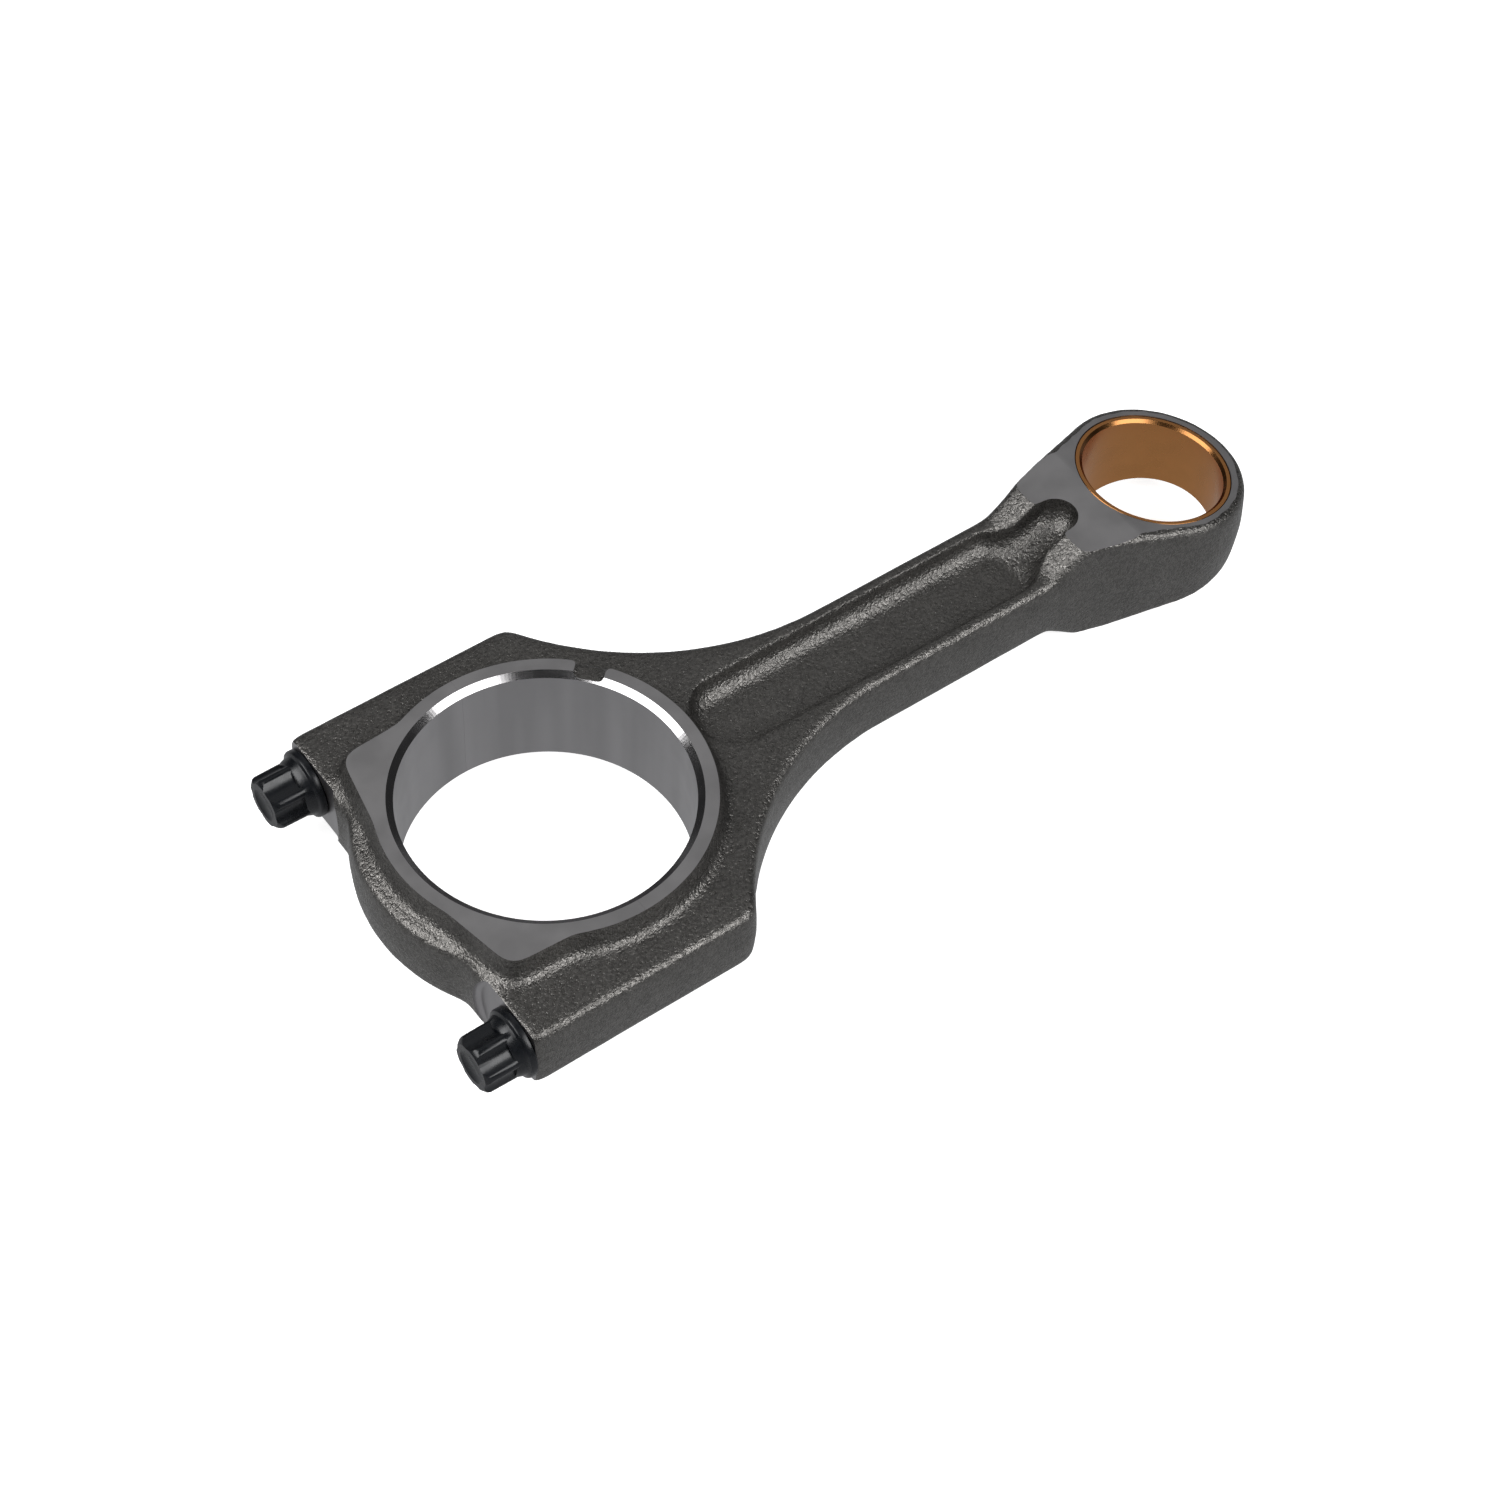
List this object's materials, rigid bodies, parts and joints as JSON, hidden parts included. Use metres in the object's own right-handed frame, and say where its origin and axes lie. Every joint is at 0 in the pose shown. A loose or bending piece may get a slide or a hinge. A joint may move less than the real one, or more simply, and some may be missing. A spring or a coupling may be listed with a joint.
{
  "type": "connecting rod",
  "caption": "Forged I-beam connecting rod with a bolted split big end, a bushed small end with tapered side faces, and long pockets in both sides of its beam.",
  "frame": {"origin": "bottom centre of the whole part's box, as the part lies on one side", "axes": "+X from the big end to the small end, +Z square to the side faces, +Y across the bolts"},
  "size_m": [0.1996, 0.0814, 0.0238],
  "materials": {
    "forged_steel": "shot-blasted dark forging with ground bore and side faces",
    "bush_bronze": "bored bronze, satin",
    "bolt_black": "black phosphated and oiled"
  },
  "bodies": {
    "rod": {"rod": "forged_steel", "bush": "bush_bronze"},
    "cap": {"cap": "forged_steel"},
    "bolt_left": {"bolt_left": "bolt_black"},
    "bolt_right": {"bolt_right": "bolt_black"}
  },
  "joints": [
    {"name": "cap_withdrawal", "type": "slide", "parent": "rod", "child": "cap", "axis": [-1, 0, 0], "range_m": [0, 0.03]},
    {"name": "bolt_left_withdrawal", "type": "slide", "parent": "cap", "child": "bolt_left", "axis": [-1, 0, 0], "range_m": [0, 0.048]},
    {"name": "bolt_right_withdrawal", "type": "slide", "parent": "cap", "child": "bolt_right", "axis": [-1, 0, 0], "range_m": [0, 0.048]}
  ]
}
